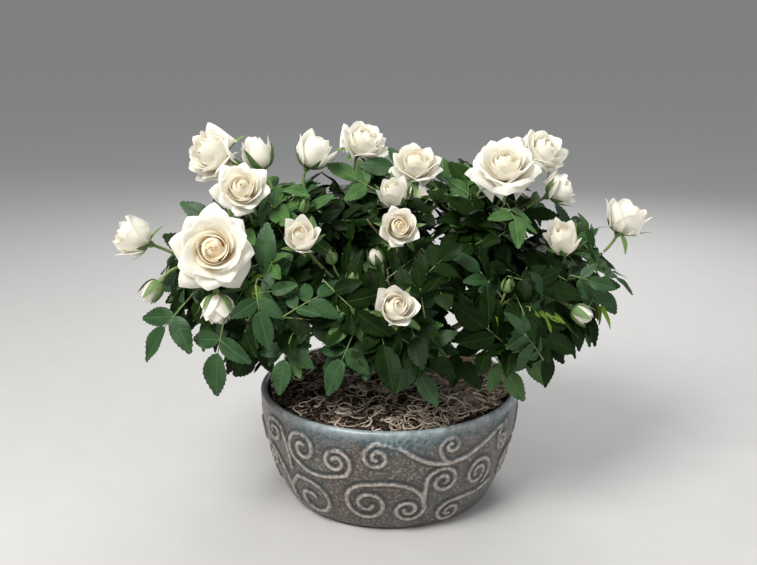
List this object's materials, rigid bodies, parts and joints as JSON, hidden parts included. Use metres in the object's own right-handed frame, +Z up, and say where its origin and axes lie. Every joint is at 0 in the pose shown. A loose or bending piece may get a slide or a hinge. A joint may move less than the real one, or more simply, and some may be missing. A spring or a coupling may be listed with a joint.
{
  "type": "potted miniature rose bush",
  "caption": "Bushy miniature rose with white blooms and dark green leaves, growing in a low round glazed bowl with a moss-covered top.",
  "frame": {"origin": "centre of the bowl's flat underside, on the surface that it stands on", "axes": "+Z up out of the bowl, -Y towards the side of the bush with the most blooms, +X to the right as seen from that side"},
  "size_m": [0.3892, 0.2836, 0.2951],
  "materials": {
    "glaze": "satin",
    "soil": "matte",
    "moss": "matte",
    "bark": "matte",
    "leaf": "satin",
    "petal": "satin"
  },
  "bodies": {
    "root": {"bowl": "glaze", "potting_soil": "soil", "moss_mat": "moss", "crown": "bark", "cane_left": "bark", "cane_front_left": "bark", "cane_front": "bark", "cane_front_right": "bark", "cane_right": "bark", "cane_back_right": "bark", "cane_back": "bark", "cane_back_left": "bark", "cane_top_left": "bark", "cane_top_middle": "bark", "cane_top_right": "bark", "leaves_left": "leaf", "leaves_front_left": "leaf", "leaves_front": "leaf", "leaves_front_right": "leaf", "leaves_right": "leaf", "leaves_back_right": "leaf", "leaves_back": "leaf", "leaves_back_left": "leaf", "leaves_top_left": "leaf", "leaves_top_middle": "leaf", "leaves_top_right": "leaf", "rose_front_left_full": "petal", "rose_far_left": "petal", "rose_top_left_open": "petal", "rose_top_left_goblet": "petal", "rose_upper_left": "petal", "rose_top_goblet": "petal", "rose_top_side": "petal", "rose_top_open": "petal", "rose_middle_small": "petal", "rose_middle_open": "petal", "rose_front_high": "petal", "rose_front_low": "petal", "rose_bud_middle": "petal", "rose_bud_front": "petal", "rose_top_right_full": "petal", "rose_top_right_open": "petal", "rose_right_side": "petal", "rose_right_upper": "petal", "rose_far_right": "petal", "rose_bud_left": "petal", "rose_nodding_left": "petal", "rose_bud_right": "petal", "rose_back_left_open": "petal", "rose_back_full": "petal", "rose_back_right_goblet": "petal", "rose_left_back": "petal", "rose_back_low": "petal", "rose_right_back": "petal"}
  },
  "joints": []
}
